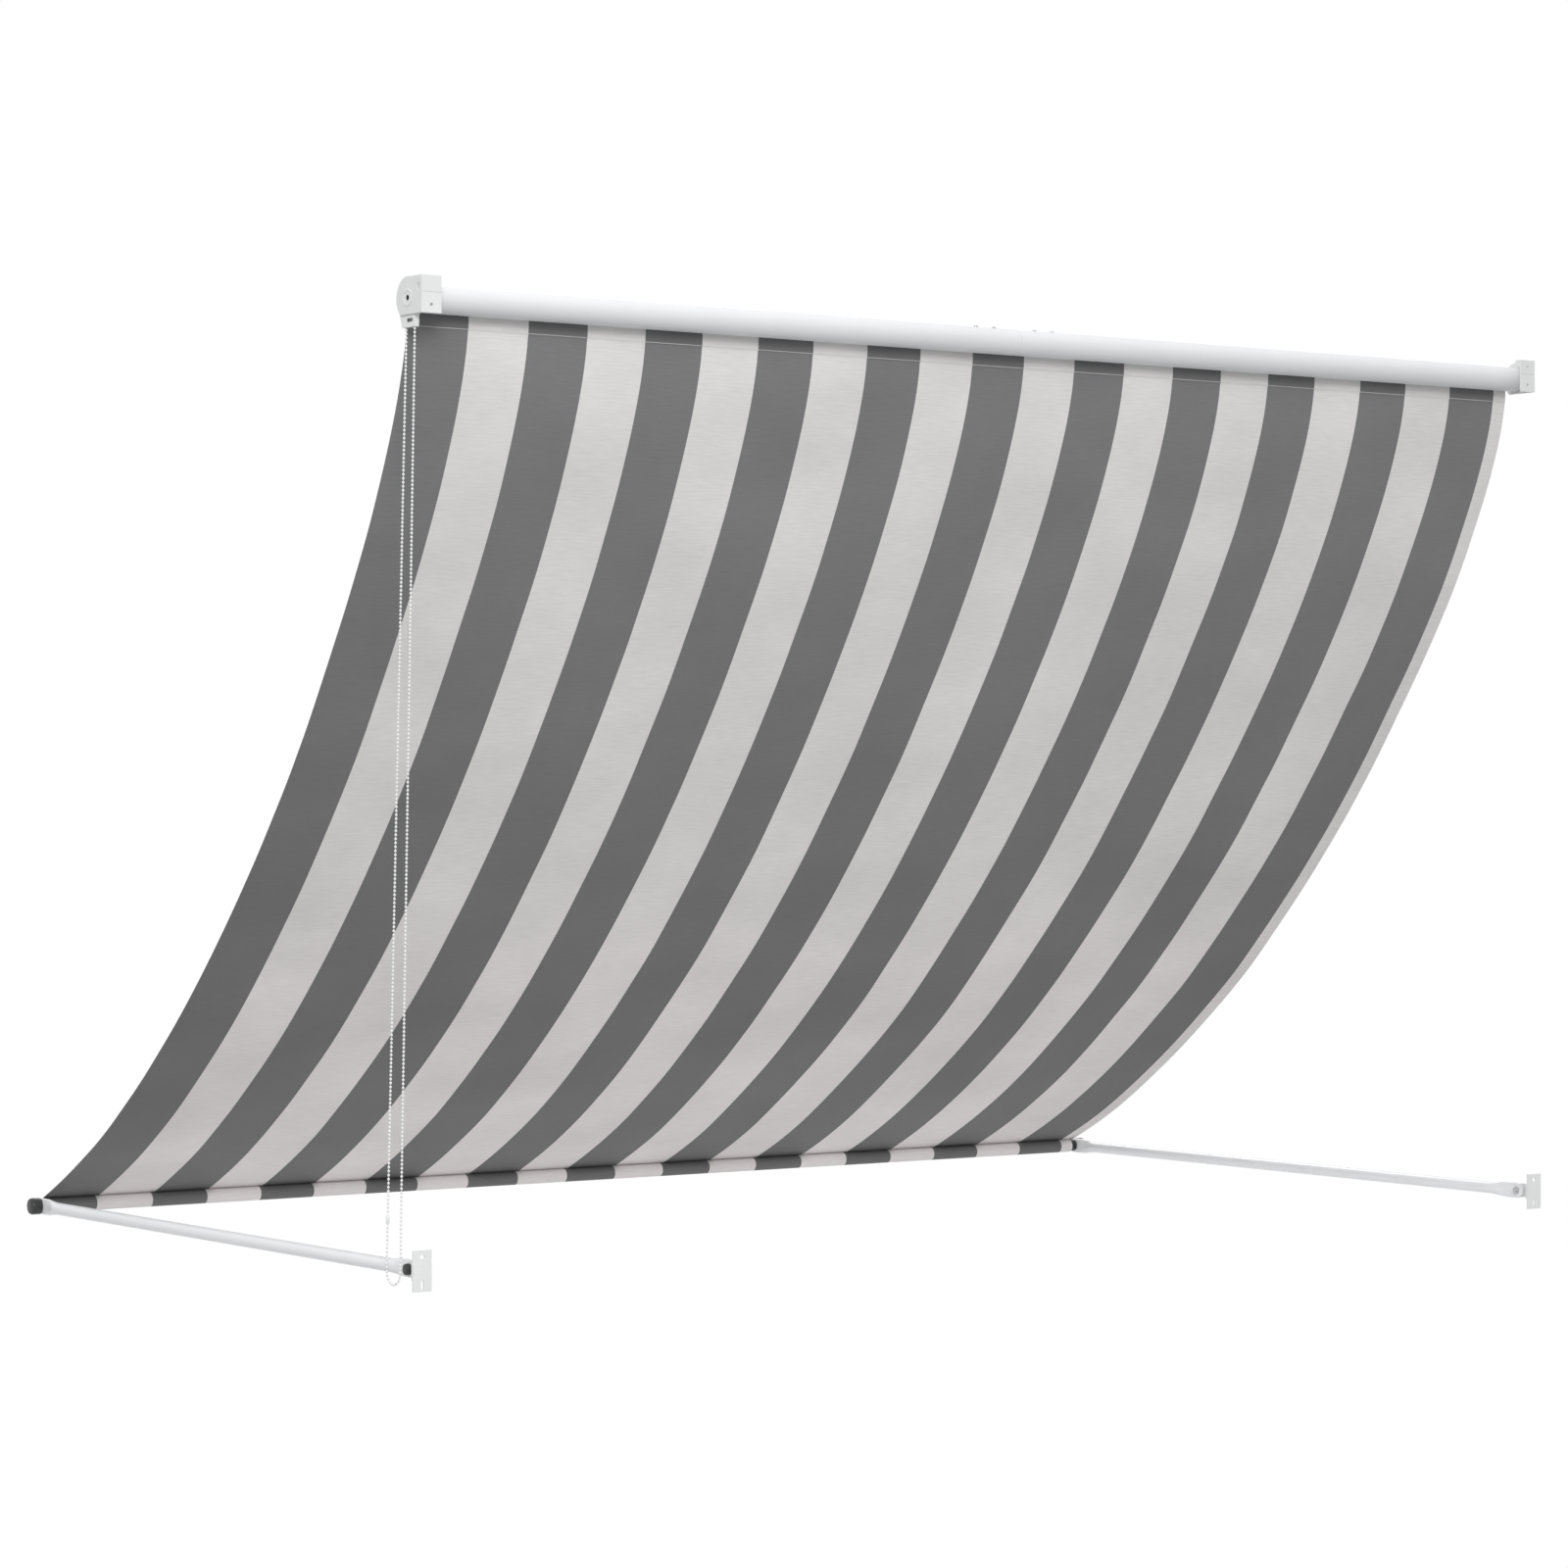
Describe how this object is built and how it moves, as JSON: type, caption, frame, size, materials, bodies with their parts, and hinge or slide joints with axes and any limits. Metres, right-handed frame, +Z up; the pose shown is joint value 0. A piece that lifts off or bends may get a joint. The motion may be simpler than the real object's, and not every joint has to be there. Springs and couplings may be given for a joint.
{
  "type": "window awning",
  "caption": "Drop-arm window awning: a striped cloth runs from a chain-driven roller on the wall to a front bar that hinged side arms hold out.",
  "frame": {"origin": "centre of the wall face of the roller bracket at the chain end; the wall is the plane y = 0", "axes": "+Y into the wall, so the street lies towards -Y; +Z up; +X along the wall towards the chain end, so the awning runs towards -X"},
  "size_m": [2.5345, 1.4135, 1.6415],
  "materials": {
    "white_cast": "satin white coating on die-cast metal",
    "white_paint": "satin white powder coating on tube",
    "white_plastic": "moulded white plastic, half gloss",
    "black_plastic": "moulded black plastic with a soft sheen",
    "grey_plastic": "plain grey plastic",
    "zinc_steel": "bright zinc plating",
    "striped_cloth": "woven polyester in charcoal grey and light grey stripes, fine ribs across the width"
  },
  "bodies": {
    "wall_side": {"chain_bracket": "white_cast", "idle_bracket": "white_cast", "chain_guard": "white_plastic", "lower_bracket_chain": "white_cast", "lower_bracket_idle": "white_cast", "pivot_bolt_chain": "zinc_steel", "pivot_bolt_idle": "zinc_steel", "pivot_washer_chain": "grey_plastic", "pivot_washer_idle": "grey_plastic", "pivot_nut_chain": "zinc_steel", "pivot_nut_idle": "zinc_steel", "pivot_cap_chain": "black_plastic", "pivot_cap_idle": "black_plastic", "canopy_cloth": "striped_cloth", "bead_chain": "white_plastic", "chain_connector": "white_plastic"},
    "roller": {"roller_tube_chain_half": "white_paint", "roller_tube_idle_half": "white_paint", "tube_joiner": "grey_plastic", "joiner_screw_1": "zinc_steel", "joiner_screw_2": "zinc_steel", "joiner_screw_3": "zinc_steel", "joiner_screw_4": "zinc_steel", "keder_rod": "grey_plastic", "drive_sprocket": "white_plastic", "idle_plug": "white_plastic", "idle_pin": "zinc_steel"},
    "arm_frame": {"arm_chain": "white_paint", "arm_idle": "white_paint", "front_bar_chain_half": "white_paint", "front_bar_idle_half": "white_paint", "front_bar_joiner": "grey_plastic", "bar_spacer_chain": "black_plastic", "bar_spacer_idle": "black_plastic", "bar_bolt_chain": "zinc_steel", "bar_bolt_idle": "zinc_steel", "bar_end_cap_chain": "black_plastic", "bar_end_cap_idle": "black_plastic"}
  },
  "joints": [
    {"name": "arm_fold", "type": "hinge", "parent": "wall_side", "child": "arm_frame", "pos_m": [0, -0.038, -1.5765], "axis": [-1, 0, 0], "range_deg": [0, 85], "deforming": ["canopy_cloth"]},
    {"name": "roller_turn", "type": "hinge", "parent": "wall_side", "child": "roller", "pos_m": [0, -0.045, -0.0035], "axis": [-1, 0, 0], "range_deg": [0, 4165]}
  ],
  "couplings": [
    {"joint": "roller_turn", "follows": "arm_fold", "ratio": 49}
  ]
}
